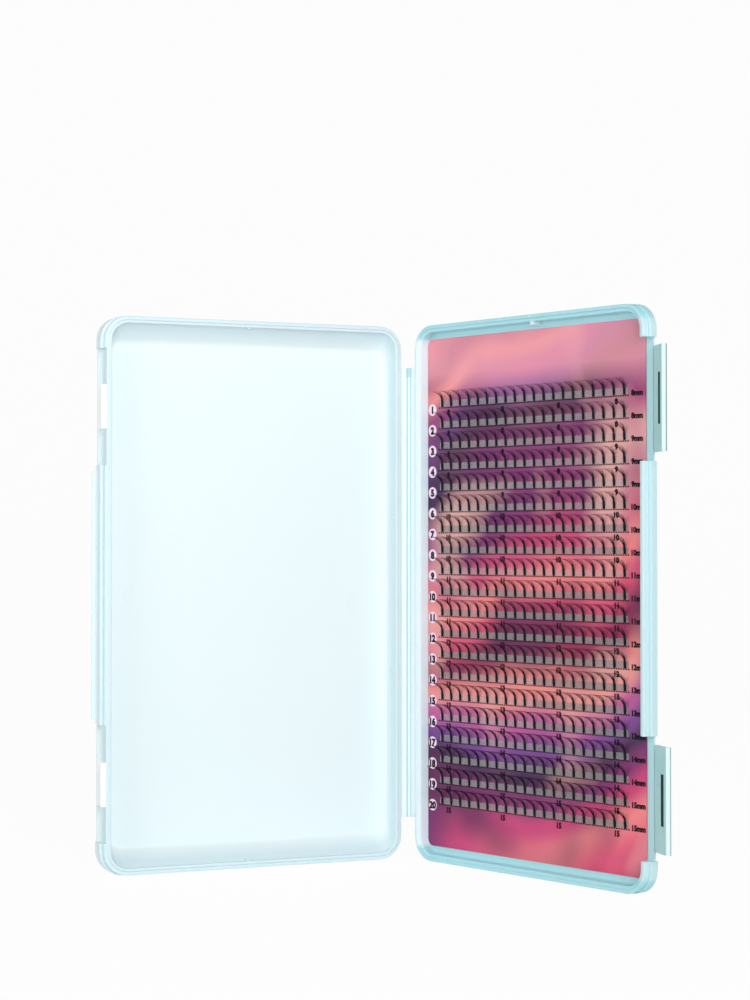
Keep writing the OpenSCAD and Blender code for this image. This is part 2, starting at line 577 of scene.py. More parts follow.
@dataclass(frozen=True)
class LatchPlastic(Coat):
    """Flap plastic in painted shade, with more painted shade in and just round its slot and on
    its underside, and a painted highlight on its bent lip.

    Raised is the flap's angle in degrees and middle the height of its slot's middle. The
    other places are measured from the flap's hinge line, in mm.
    """

    raised: float
    middle: float
    # body is the flap's plastic in painted shade, lip the painted highlight of the bent lip, and
    # shade the painted shade of the slot's depth and of the underside.
    body: Colour = (0.42, 0.70, 0.69)
    lip: Colour = (0.72, 0.93, 0.96)
    shade: Colour = (0.016, 0.06, 0.06)
    slot_at: float = 4.9
    half_width: float = 1.02
    half_length: float = 0.5 * SIZES.flap_slot_len + 0.15
    lip_at: float = 7.1
    under_at: float = 0.4
    under_share: float = 0.75
    edge: float = 0.12
    flow_share: float = 0.12
    rough: Flat = (0.32, 0.42)

    def paint(self, sheet: NodeSheet, where: Sock) -> Sock:
        """Paints the flap.

        Args:
            sheet: The material's sheet.
            where: Position on the piece.

        Returns:
            The shader to show.
        """
        turn = math.radians(self.raised)
        east = sheet.mm(where, "X") - SIZES.flap_axis[0]
        north = sheet.mm(where, "Y") - SIZES.flap_axis[1]
        along = east * math.cos(turn) - north * math.sin(turn)
        behind = east * math.sin(turn) + north * math.cos(turn)
        height = sheet.mm(where, "Z")
        # Masks of the lip's painted highlight, the underside's painted shade and the slot's
        # painted shade.
        lip = ((along - self.lip_at) / self.edge).held()
        under = ((behind - self.under_at) / self.edge).held()
        aside = ((self.half_width - (along - self.slot_at).size()) / self.edge).held()
        within = ((self.half_length - (height - self.middle).size()) / self.edge).held()
        painted_shade = (aside * within).most(under * self.under_share)
        flow = sheet.noise(where, scale=90.0, detail=3.0)
        # Painted highlight on the lip, then painted shade in the slot and on the underside.
        colour = sheet.mix(lip, self.body, self.lip)
        colour = sheet.mix(flow * self.flow_share, colour, self.lip)
        colour = sheet.mix(painted_shade, colour, self.shade)
        return sheet.moulded(where, colour, flow.between(*self.rough))


@dataclass(frozen=True)
class HingePlastic(Coat):
    """Hinge plastic: painted shade on the film, which is thin, in the hinge's crease; pale on
    the bead and the leaves.

    Above block_from, by the thicker block at the hinge's end, the film's painted shade is darker
    still.
    """

    name: str = "hinge_plastic"
    pale: Colour = (0.88, 0.97, 0.99)
    # film and block are the hinge's plastic in painted shade.
    film: Colour = (0.52, 0.76, 0.81)
    block: Colour = (0.44, 0.70, 0.76)
    bead: float = 0.36
    film_w: float = 0.95
    block_from: float = SIZES.length - 15.1
    block_share: float = 0.8
    edge: float = 0.1
    flow_share: float = 0.15
    rough: Flat = (0.30, 0.40)

    def paint(self, sheet: NodeSheet, where: Sock) -> Sock:
        """Paints the hinge.

        Args:
            sheet: The material's sheet.
            where: Position on the piece.

        Returns:
            The shader to show.
        """
        east = sheet.mm(where, "X") - SIZES.hinge[0]
        north = sheet.mm(where, "Y") - SIZES.hinge[1]
        away = (east * east + north * north).root()
        past_bead = ((away - self.bead) / self.edge).held()
        in_film = ((self.film_w - away) / self.edge).held()
        in_block = ((self.film_w + self.edge - away) / self.edge).held()
        upper = ((sheet.mm(where, "Z") - self.block_from) / self.edge).held()
        flow = sheet.noise(where, scale=120.0, detail=3.0)
        # Painted shade over the film, darker still over the block.
        colour = sheet.mix(past_bead * in_film, self.pale, self.film)
        colour = sheet.mix(flow * self.flow_share, colour, self.film)
        colour = sheet.mix(upper * in_block * self.block_share, colour, self.block)
        return sheet.moulded(where, colour, flow.between(*self.rough))


@dataclass(frozen=True)
class PrintedCard(Coat):
    """Satin card with soft slanting bands and clouds of coral, rose and violet.

    Band is the height of one round of colours, phase its start as a share of it, and slant
    how steeply the bands rise across the card. Stir and sway are how far they wander, in mm,
    and wave is how fast the sway turns across and up the card, in radians for each mm. A
    cloud starts where its noise is past the limit and grows by cloud_rise up to cloud_share.
    """

    name: str = "printed_card"
    band: float = 95.0
    phase: float = 0.14
    slant: float = 0.55
    stir: float = 136.0
    sway: float = 10.2
    wave: Flat = (0.042, 0.009)
    bands: tuple[tuple[float, Colour], ...] = (
        (0.00, (0.72, 0.07, 0.17)),
        (0.10, (0.92, 0.24, 0.24)),
        (0.20, (0.60, 0.05, 0.18)),
        (0.30, (0.20, 0.02, 0.15)),
        (0.41, (0.03, 0.01, 0.07)),
        (0.52, (0.17, 0.05, 0.30)),
        (0.63, (0.52, 0.10, 0.34)),
        (0.74, (0.92, 0.30, 0.28)),
        (0.87, (0.28, 0.01, 0.08)),
        (1.00, (0.72, 0.07, 0.17)),
    )
    glow: Colour = (0.90, 0.30, 0.36)
    pale: Colour = (0.92, 0.50, 0.44)
    deep: Colour = (0.08, 0.008, 0.07)
    head: Colour = (0.90, 0.36, 0.43)
    speck: Colour = (0.55, 0.10, 0.20)
    glow_from: float = 0.45
    glow_share: float = 0.7
    pale_from: float = 0.53
    deep_from: float = 0.46
    cloud_rise: float = 7.0
    cloud_share: float = 0.8
    head_from: float = SIZES.length - 23.0
    head_fade: float = 12.0
    head_share: float = 0.72
    speck_share: float = 0.10
    rough: Flat = (0.34, 0.46)

    def paint(self, sheet: NodeSheet, where: Sock) -> Sock:
        """Paints the card.

        Args:
            sheet: The material's sheet.
            where: Position on the piece.

        Returns:
            The shader to show.
        """
        across, up = sheet.mm(where, "X"), sheet.mm(where, "Z")
        drift = (sheet.noise(where, scale=11.0, detail=1.5) - 0.5) * self.stir
        turn = (across * self.wave[0] + up * self.wave[1]).sine() * self.sway
        along = (up - across * self.slant + drift + turn) / self.band
        colour = sheet.node(
            "ShaderNodeValToRGB",
            {"stops": self.bands, "interpolation": "EASE"},
            {0: (along + self.phase).fraction()},
        )
        lit = (sheet.noise(where, scale=26.0) - self.glow_from).most(0.0) * self.glow_share
        clouds = sheet.noise(where, scale=21.0)
        pale = ((clouds - self.pale_from) * self.cloud_rise).held(self.cloud_share)
        deep = ((self.deep_from - clouds) * self.cloud_rise).held(self.cloud_share)
        head = ((up - self.head_from) / self.head_fade).held(self.head_share)
        colour = sheet.mix(lit, colour, self.glow)
        colour = sheet.mix(pale, colour, self.pale)
        colour = sheet.mix(deep, colour, self.deep)
        colour = sheet.mix(head, colour, self.head)
        dots = sheet.noise(where, scale=2600.0, detail=1.0)
        colour = sheet.mix(dots * self.speck_share, colour, self.speck)
        grain = sheet.bump(dots, strength=0.04, distance=0.0001)
        return sheet.surface(colour, dots.between(*self.rough), grain, Specular_IOR_Level=0.35)


@dataclass(frozen=True)
class Grained(Coat):
    """A two-tone finish with a fine grain: tape, ink, fibre and adhesive strip.

    Scale is the grain's, in cycles per metre, and rough_play how far it moves the roughness.
    """

    first: Colour
    second: Colour
    roughness: float
    scale: float
    bump: float = 0.05
    alpha: float = 1.0
    gloss: float = 0.4
    rough_play: float = 0.05

    def paint(self, sheet: NodeSheet, where: Sock) -> Sock:
        """Paints the finish.

        Args:
            sheet: The material's sheet.
            where: Position on the piece.

        Returns:
            The shader to show.
        """
        grain = sheet.noise(where, self.scale, detail=3.0)
        return sheet.surface(
            sheet.mix(grain, self.first, self.second),
            grain.between(self.roughness - self.rough_play, self.roughness + self.rough_play),
            sheet.bump(grain, self.bump, distance=0.0001),
            Alpha=self.alpha,
            Specular_IOR_Level=self.gloss,
        )


@dataclass(frozen=True)
class PaleFloor(Coat):
    """White floor and backdrop that stay white to the camera and keep a faint shadow."""

    name: str = "pale_floor"
    shade: float = 0.04

    def paint(self, sheet: NodeSheet, where: Sock) -> Sock:
        """Paints the floor.

        Args:
            sheet: The material's sheet.
            where: Position on the floor, which its even white doesn't need.

        Returns:
            The shader to show.
        """
        seen = sheet.ray("Is Camera Ray").most(sheet.ray("Is Glossy Ray"))
        shown = seen.most(sheet.ray("Is Transmission Ray")) * (1.0 - self.shade)
        white = sheet.node("ShaderNodeEmission", {}, {"Color": (1.0, 1.0, 1.0), "Strength": 1.0})
        matt = sheet.node("ShaderNodeBsdfDiffuse", {}, {"Color": (0.92, 0.93, 0.93)})
        return sheet.node("ShaderNodeMixShader", {}, {0: shown, 1: matt, 2: white})


def base_tints() -> tuple[Tint, ...]:
    """Tints of the base: painted light on the hinge side's wall, painted shade on the free
    side's wall in the notches and on both end walls, and paler over the back.

    Returns:
        The hinge side's wall, the free side's wall in the notches, both end walls and the
        back, each measured in from the base's outer faces.
    """
    side, back, top = SIZES.width / 2, SIZES.base_depth / 2, SIZES.length
    # Painted shade on both end walls.
    end_wall_shade = (0.42, 0.74, 0.80)
    notches = (SIZES.lower_notch, SIZES.upper_notch)
    return (
        # Painted light on the hinge side's wall, painted shade on the notch walls and end walls,
        # paler over the back.
        Tint((0.77, 0.90, 0.95), "X", 4.25 - side, 2.75 - side),
        Tint((0.42, 0.68, 0.72), "X", side - 2.65, side - 2.05, notches),
        Tint(end_wall_shade, "Z", 4.6, 3.4),
        Tint(end_wall_shade, "Z", top - 4.6, top - 3.4),
        Tint((0.78, 0.92, 0.95), "Y", back - 0.85, back - 0.15),
    )


class Finish(Enum):
    """The finishes of the case's pieces."""

    PLASTIC = MouldedPlastic(
        "lid_plastic", (0.81, 0.935, 0.955), (0.68, 0.84, 0.885), SIZES.lid_place, -5.08, -2.38
    )
    # The lid's plastic painted nearly white on the catches, as painted light.
    CATCH = MouldedPlastic(
        "lit_catch_plastic", (0.95, 0.99, 0.99), (0.93, 0.985, 0.99), SIZES.lid_place, -5.08, -2.38
    )
    # The lid's plastic, painted darker over the base as painted shade.
    BASE_PLASTIC = MouldedPlastic(
        "base_plastic",
        (0.55, 0.79, 0.84),
        (0.59, 0.79, 0.83),
        SIZES.base_place,
        -3.95,
        -0.75,
        base_tints(),
    )
    UPPER_FLAP = LatchPlastic(
        "upper_flap_plastic", SIZES.upper_raised, sum(SIZES.upper_notch) / 2
    )
    LOWER_FLAP = LatchPlastic(
        "lower_flap_plastic", SIZES.lower_raised, sum(SIZES.lower_notch) / 2
    )
    HINGE = HingePlastic()
    CARD = PrintedCard()
    TAPE = Grained("white_tape", (0.86, 0.85, 0.80), (0.78, 0.77, 0.71), 0.7, 900.0)
    STRIP = Grained(
        "adhesive_strip", (0.90, 0.90, 0.88), (0.82, 0.84, 0.81), 0.42, 700.0, 0.08, 0.24, 0.3
    )
    FIBRE = Grained(
        "lash_fibre", (0.004, 0.003, 0.008), (0.010, 0.008, 0.016), 0.6, 1800.0, gloss=0.12
    )
    INK = Grained(
        "black_ink", (0.006, 0.004, 0.008), (0.016, 0.012, 0.018), 0.7, 2000.0, gloss=0.1
    )
    DISC = Grained("pale_ink", (0.98, 0.76, 0.92), (0.94, 0.70, 0.88), 0.5, 1500.0, gloss=0.2)
    FLOOR = PaleFloor()


class Wardrobe:
    """Builds each finish once and dresses pieces in it."""

    def __init__(self) -> None:
        """Starts with no materials made."""
        self.made: dict[Finish, bpy.types.Material] = {}

    def dress(self, piece: bpy.types.Object, finish: Finish) -> None:
        """Gives a piece one material in all its slots, made at the finish's first use.

        Args:
            piece: The piece.
            finish: Its finish.
        """
        if finish not in self.made:
            self.made[finish] = finish.value.build()
        piece.data.materials.clear()
        piece.data.materials.append(self.made[finish])


# Meshes


class MeshMaker:
    """Collects closed forms into one mesh and makes a piece of them."""

    def __init__(self, placement: Placement) -> None:
        """Starts an empty mesh.

        Args:
            placement: Where drawn points go.
        """
        self.placement = placement
        self.mesh = bmesh.new()

    def point(self, at: Point) -> bmesh.types.BMVert:
        """Adds one vertex at a drawn point."""
        return self.mesh.verts.new(self.placement.at(*at))

    def loft(self, rings: Sequence[Sequence[Point]]) -> None:
        """Joins rings of equal length into a closed form with flat ends.

        Args:
            rings: Closed rings of drawn points, in order.
        """
        rows = [[self.point(p) for p in ring] for ring in rings]
        count = len(rows[0])
        for low, high in zip(rows, rows[1:]):
            for i in range(count):
                j = (i + 1) % count
                self.mesh.faces.new((low[i], low[j], high[j], high[i]))
        self.mesh.faces.new(rows[0][::-1])
        self.mesh.faces.new(rows[-1])

    def box(self, low: Point, high: Point) -> None:
        """Adds a box between two drawn corners.

        Args:
            low: The lowest corner.
            high: The highest corner.
        """
        (x0, y0, z0), (x1, y1, z1) = low, high
        outline = ((x0, y0), (x1, y0), (x1, y1), (x0, y1))
        self.loft([[(x, y, z) for x, y in outline] for z in (z0, z1)])

    def turned(self, centre: Point, profile: Sequence[Flat], sides: int) -> None:
        """Adds a round form about an axis that stands on the parting plane.

        Args:
            centre: Middle of its foot.
            profile: Radius and height of each ring, from the foot up, in mm.
            sides: Number of sides.
        """
        x, y, z = centre
        turns = [2 * math.pi * i / sides for i in range(sides)]
        self.loft(
            [
                [(x + r * math.cos(a), y + r * math.sin(a), z + h) for a in turns]
                for r, h in profile
            ]
        )

    def finish(
        self, name: str, bevel: float = 0.0, smooth: float = 40.0, tidy: bool = True
    ) -> bpy.types.Object:
        """Makes the piece.

        Args:
            name: The piece's name.
            bevel: Width of the eased edges, in mm, or 0.
            smooth: Faces that meet below this angle are shaded smooth, in degrees.
            tidy: Whether doubled vertices are merged.

        Returns:
            The new object.
        """
        if tidy:
            bmesh.ops.remove_doubles(self.mesh, verts=self.mesh.verts, dist=2e-6)
            bmesh.ops.dissolve_degenerate(self.mesh, dist=1e-6, edges=self.mesh.edges)
        bmesh.ops.recalc_face_normals(self.mesh, faces=self.mesh.faces)
        data = bpy.data.meshes.new(name)
        self.mesh.to_mesh(data)
        self.mesh.free()
        piece = bpy.data.objects.new(name, data)
        bpy.context.scene.collection.objects.link(piece)
        ease_edges(piece, bevel, smooth)
        return piece


def ease_edges(piece: bpy.types.Object, width: float, smooth: float = 40.0) -> None:
    """Rounds a piece's sharp edges slightly and shades the rest smooth.

    Args:
        piece: The piece.
        width: Width of the rounding, in mm, or 0 for none.
        smooth: Faces that meet below this angle are shaded smooth, in degrees.
    """
    if width > 0:
        bevel = piece.modifiers.new("eased_edges", "BEVEL")
        bevel.width = width * MM
        bevel.segments = 2
        bevel.limit_method = "ANGLE"
        bevel.angle_limit = math.radians(smooth)
        bevel.harden_normals = True
    for face in piece.data.polygons:
        face.use_smooth = True
    piece.data.set_sharp_from_angle(angle=math.radians(smooth))


# Trays


FAR = 1000.0  # further out than any point of the case, for a ring that no notch cuts


@dataclass(frozen=True)
class Ring:
    """One line round a tray's wall: how far in, how high, and what a notch leaves."""

    inset: float
    z: float
    end_inset: float | None = None
    skin: float = 0.0
    notch_x: float = FAR
    notch_z: float = FAR
    lip: float = 0.0


def arc(steps: int, first: float, last: float, centre: Flat, radius: float) -> list[Flat]:
    """Points on an arc in a wall's section.

    Args:
        steps: Number of steps.
        first: First angle, in degrees.
        last: Last angle, in degrees.
        centre: Centre as (inset, z).
        radius: Radius, in mm.

    Returns:
        Points as (inset, z).
    """
    turns = [math.radians(first + (last - first) * k / steps) for k in range(steps + 1)]
    return [(centre[0] + radius * math.cos(a), centre[1] + radius * math.sin(a)) for a in turns]


def inner_edge(face: float, top: float, ease: float) -> list[Flat]:
    """Eased edge where a section's line climbs an inner face and turns onto its top."""
    return arc(3, 0.0, 90.0, (face - ease, top - ease), ease)


def outer_edge(face: float, top: float, ease: float) -> list[Flat]:
    """Eased edge where a section's line leaves a top and drops down an outer face."""
    return arc(3, 90.0, 180.0, (face + ease, top - ease), ease)


def back_edge(depth: float, ease: float) -> list[Flat]:
    """Eased edge where a section's line turns onto the back."""
    return arc(4, 180.0, 270.0, (ease, ease - depth), ease)


@dataclass
class TrayShell:
    """Builds a tray's body from rings round its wall."""

    sizes: CaseSizes
    corner_steps: int = 10
    least_corner: float = 0.3
    edge: float = 0.12

    def outline(self, ring: Ring) -> list[Point]:
        """Points of one ring, the same number for every ring.

        Args:
            ring: The ring.

        Returns:
            Drawn points, counter-clockwise from the hinge side's lower corner.
        """
        s = self.sizes
        i = ring.inset
        r = max(s.corner - i, self.least_corner)
        x0, x1 = s.hinge_gap + i, s.free_x - i + ring.skin
        end = i if ring.end_inset is None else ring.end_inset
        y0, y1 = end, s.length - end
        points: list[Point] = []
        corners = (
            (x0 + r, y0 + r, 180.0),
            (x1 - r, y0 + r, 270.0),
            (x1 - r, y1 - r, 0.0),
            (x0 + r, y1 - r, 90.0),
        )
        for index, (cx, cy, start) in enumerate(corners):
            for k in range(self.corner_steps + 1):
                a = math.radians(start + 90.0 * k / self.corner_steps)
                points.append((cx + r * math.cos(a), cy + r * math.sin(a), ring.z))
            if index == 1:
                for y, below, above in s.stops:
                    points.append(self.free_point(ring, x1, y, below))
                    points.append(self.free_point(ring, x1, y, above))
        return points

    def free_point(self, ring: Ring, x: float, y: float, span: Span) -> Point:
        """A ring's point on the free side.

        Args:
            ring: The ring.
            x: Where the plain ring is.
            y: Height along the case.
            span: What the free side does there.

        Returns:
            The drawn point.
        """
        if span is Span.NOTCH:
            return (min(x, ring.notch_x), y, min(ring.z, ring.notch_z))
        if span is Span.LIP:
            return (x + ring.lip, y, ring.z)
        return (x, y, ring.z)

    def build(self, name: str, rings: Iterable[Ring], place: Placement) -> bpy.types.Object:
        """Makes the tray.

        Args:
            name: The piece's name.
            rings: Rings from the inner floor over the rim to the back.
            place: The tray's placement.

        Returns:
            The tray's body.
        """
        maker = MeshMaker(place)
        maker.loft([self.outline(ring) for ring in rings])
        return maker.finish(name, self.edge)


@dataclass
class BaseTray:
    """The base: shallow tray with its skin, two open notches and a moulding rib."""

    sizes: CaseSizes
    wardrobe: Wardrobe
    ledge: float = 1.9
    fillet: float = 0.6
    floor_edge: float = 0.4
    ease: float = 0.22
    back_ease: float = 0.5
    rib_u: float = 49.2
    rib_w: float = 1.2
    rib_out: float = 1.0
    rib_below_rim: float = 0.7
    mark_w: float = 1.0
    mark_h: float = 0.03
    mark_root: float = 0.1
    sunk: float = 0.3
    edge: float = 0.1

    def rings(self) -> list[Ring]:
        """Section of the wall, from the floor's edge to the back.

        Returns:
            The rings in order.
        """
        s = self.sizes
        floor = s.floor - s.base_depth
        rim, wall, e = s.rim_z, s.wall, self.ease
        inner = wall - s.step_w
        step = rim - s.step_h - s.step_play
        keep = {"notch_x": s.free_x, "notch_z": floor}
        f = self.fillet
        line: list[Flat] = [(wall + f + self.floor_edge, floor)]
        line += arc(4, 270.0, 180.0, (wall + f, floor + f), f)
        line += inner_edge(wall, step, e)
        line += arc(2, 270.0, 180.0, (inner + e / 2, step + e / 2), e / 2)
        line += inner_edge(inner, rim, e)
        line += outer_edge(0.0, rim, e)
        rings = [Ring(i, z, **keep) for i, z in line]
        rings.append(Ring(0.0, -self.ledge, **keep))
        rings += [
            Ring(0.0, z, skin=s.skin - short, **keep)
            for short, z in outer_edge(0.0, -self.ledge, e)
        ]
        rings += [
            Ring(i, z, skin=s.skin, **keep) for i, z in back_edge(s.base_depth, self.back_ease)
        ]
        return rings

    def build(self) -> None:
        """Makes the base and hides the CAD node that it stands for."""
        s = self.sizes
        tray = TrayShell(s).build("base_shell", self.rings(), s.base_place)
        self.wardrobe.dress(tray, Finish.BASE_PLASTIC)
        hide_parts("base_tray")
        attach(tray, "base")
        LOG.info("base_shell: %d faces", len(tray.data.polygons))
        self.rib()

    def rib(self) -> None:
        """Small moulding rib in the middle of the upper end wall, and its mark on the rim."""
        s = self.sizes
        maker = MeshMaker(s.base_place)
        middle, rim = s.hinge_gap + self.rib_u, s.rim_z
        wall = s.length - s.wall
        half = self.rib_w / 2
        maker.box(
            (middle - half, wall - self.rib_out, s.floor - s.base_depth),
            (middle + half, wall + self.sunk, rim - self.rib_below_rim),
        )
        half = self.mark_w / 2
        maker.box(
            (middle - half, wall + s.step_w + self.sunk, rim - self.mark_root),
            (middle + half, s.length - self.sunk, rim + self.mark_h),
        )
        rib = maker.finish("base_wall_rib", self.edge)
        self.wardrobe.dress(rib, Finish.PLASTIC)
        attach(rib, "base")
        LOG.info("base_wall_rib: %d faces", len(rib.data.polygons))


@dataclass
class Lid:
    """The lid: deeper tray with a raised step, recessed notches and a thumb lip.

    Its end walls slope over end_slope and up to end_rise. Each of slope_steps is a share of
    the way out and a share of the rise. Pins are marks on the floor, by their distance from
    the hinge side and their height. Each ring of pin_rings is a distance in from a mark's
    edge and a height.
    """

    sizes: CaseSizes
    wardrobe: Wardrobe
    ledge: float = 1.5
    recess: float = 0.5
    thumb_out: float = 1.2
    thumb_t: float = 1.2
    fillet: float = 0.8
    floor_edge: float = 0.4
    end_slope: float = 5.5
    end_rise: float = 4.6
    slope_edge: float = 1.0
    slope_steps: tuple[Flat, ...] = (
        (0.0, 0.0),
        (0.09, 0.02),
        (0.18, 0.07),
        (0.27, 0.16),
        (1.0, 1.0),
    )
    slope_lead: float = 0.2
    step_foot: float = 0.23
    ease: float = 0.22
    back_ease: float = 0.7
    pin_radius: float = 3.3
    pin_rings: tuple[Flat, ...] = (
        (0.0, -0.05),
        (0.0, 0.0),
        (0.15, 0.03),
        (0.35, 0.006),
        (2.9, 0.004),
    )
    pins: tuple[Flat, ...] = (
        (82.5, 148.7),
        (82.4, 79.5),
        (47.1, 151.9),
        (12.5, 149.2),
        (12.5, 76.7),
    )
    end_rib_u: float = 49.0
    side_ribs: Flat = (56.1, 102.4)
    rib_w: float = 1.0
    end_rib_out: float = 0.4
    side_rib_out: float = 0.35
    side_rib_below_rim: float = 0.6
    sunk: float = 0.2
    edge: float = 0.1

    def floor_rings(self) -> list[Ring]:
        """The floor's edge: a fillet on the long sides, a slope at the ends.

        Returns:
            The rings in order.
        """
        s = self.sizes
        floor, wall, f = s.floor - s.lid_depth, s.wall, self.fillet
        lines = [(wall + f + self.floor_edge, floor, wall + self.end_slope + self.slope_edge)]
        for k, drop in self.slope_steps:
            turned = min(1.0, k + (self.slope_lead if k > 0.0 else 0.0))
            side = f * (1.0 - math.sin(0.5 * math.pi * turned))
            end = wall + self.end_slope * (1.0 - k)
            lines.append((wall + side, floor + self.end_rise * drop, end))
        notch_x = s.free_x - self.recess
        return [Ring(i, z, end_inset=end, notch_x=notch_x) for i, z, end in lines]

    def rings(self) -> list[Ring]:
        """Section of the wall, from the floor's edge to the back.

        Returns:
            The rings in order.
        """
        s = self.sizes
        floor = s.floor - s.lid_depth
        rim, e = s.rim_z, self.ease
        top = rim + s.step_h
        step = s.wall - s.step_w + s.step_play
        inner = {"notch_x": s.free_x - self.recess}
        outer = {"notch_x": s.free_x + s.skin - self.recess}
        line = inner_edge(s.wall, top, e)
        line += outer_edge(step, top, e)
        line.append((step - self.step_foot, rim))
        line += outer_edge(0.0, rim, e)
        rings = self.floor_rings()
        rings += [Ring(i, z, **inner) for i, z in line]
        rings.append(Ring(0.0, -self.ledge, **inner))
        rings += [
            Ring(0.0, z, skin=s.skin - short, **inner)
            for short, z in outer_edge(0.0, -self.ledge, e)
        ]
        lip_z = self.thumb_t - s.lid_depth
        rings.append(Ring(0.0, lip_z, skin=s.skin, **inner))
        rings += [
            Ring(0.0, z, skin=s.skin, lip=self.thumb_out - short, **inner)
            for short, z in outer_edge(0.0, lip_z, e)
        ]
        rings.append(Ring(0.0, floor, skin=s.skin, lip=self.thumb_out, **inner))
        rings.append(Ring(0.0, floor, skin=s.skin, lip=self.thumb_out, **outer))
        rings += [
            Ring(i, z, skin=s.skin, lip=self.thumb_out, **outer)
            for i, z in back_edge(s.lid_depth, self.back_ease)
        ]
        return rings

    def build(self) -> None:
        """Makes the lid and hides the CAD node that it stands for."""
        s = self.sizes
        tray = TrayShell(s).build("lid_body", self.rings(), s.lid_place)
        self.wardrobe.dress(tray, Finish.PLASTIC)
        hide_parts("lid_shell")
        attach(tray, "lid")
        LOG.info("lid_body: %d faces", len(tray.data.polygons))
        for piece in (self.pin_marks(), self.ribs()):
            self.wardrobe.dress(piece, Finish.PLASTIC)
            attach(piece, "lid")
            LOG.info("%s: %d faces", piece.name, len(piece.data.polygons))

    def pin_marks(self) -> bpy.types.Object:
        """Ejector-pin marks on the floor.

        Returns:
            The marks, as one piece.
        """
        s = self.sizes
        maker = MeshMaker(s.lid_place)
        profile = [(self.pin_radius - inwards, z) for inwards, z in self.pin_rings]
        for u, y in self.pins:
            maker.turned((s.hinge_gap + u, y, s.floor - s.lid_depth), profile, 40)
        return maker.finish("lid_pin_marks", tidy=False)

    def ribs(self) -> bpy.types.Object:
        """Small ribs on the end walls and on the hinge side's wall.

        Returns:
            The ribs, as one piece.
        """
        s = self.sizes
        maker = MeshMaker(s.lid_place)
        floor, half = s.floor - s.lid_depth, self.rib_w / 2
        middle, top = s.hinge_gap + self.end_rib_u, s.length - s.wall
        for y0, y1 in (
            (top - self.end_rib_out, top + self.sunk),
            (s.wall - self.sunk, s.wall + self.end_rib_out),
        ):
            maker.box((middle - half, y0, floor), (middle + half, y1, s.rim_z))
        wall = s.hinge_gap + s.wall
        for y in self.side_ribs:
            maker.box(
                (wall - self.sunk, y - half, floor),
                (wall + self.side_rib_out, y + half, s.rim_z - self.side_rib_below_rim),
            )
        return maker.finish("lid_wall_ribs", self.edge)


# Hinge and latches


@dataclass
class SmallMouldings:
    """Hinge leaves, films, catches and flaps: CAD nodes with edges eased by some mm."""

    nodes: dict[str, bpy.types.Object]
    wardrobe: Wardrobe
    smooth: float = 30.0
    eased: tuple[tuple[str, float, Finish], ...] = (
        ("base_hinge_leaf", 0.1, Finish.HINGE),
        ("lid_hinge_leaf", 0.1, Finish.HINGE),
        ("latch_film_upper", 0.0, Finish.BASE_PLASTIC),
        ("latch_film_lower", 0.0, Finish.BASE_PLASTIC),
        ("latch_upper", 0.14, Finish.UPPER_FLAP),
        ("latch_lower", 0.14, Finish.LOWER_FLAP),
        ("lid_catch_upper", 0.1, Finish.CATCH),
        ("lid_catch_lower", 0.1, Finish.CATCH),
    )

    def build(self) -> None:
        """Dresses the nodes."""
        for name, width, finish in self.eased:
            piece = self.nodes[name]
            self.wardrobe.dress(piece, finish)
            ease_edges(piece, width, self.smooth)
            LOG.info("%s: edges eased by %.2f mm", name, width)


# Card


class Anchor(Enum):
    """How a printed word lies about its point, as the share of it that is left of it."""

    MIDDLE = 0.5
    LEFT = 0.0


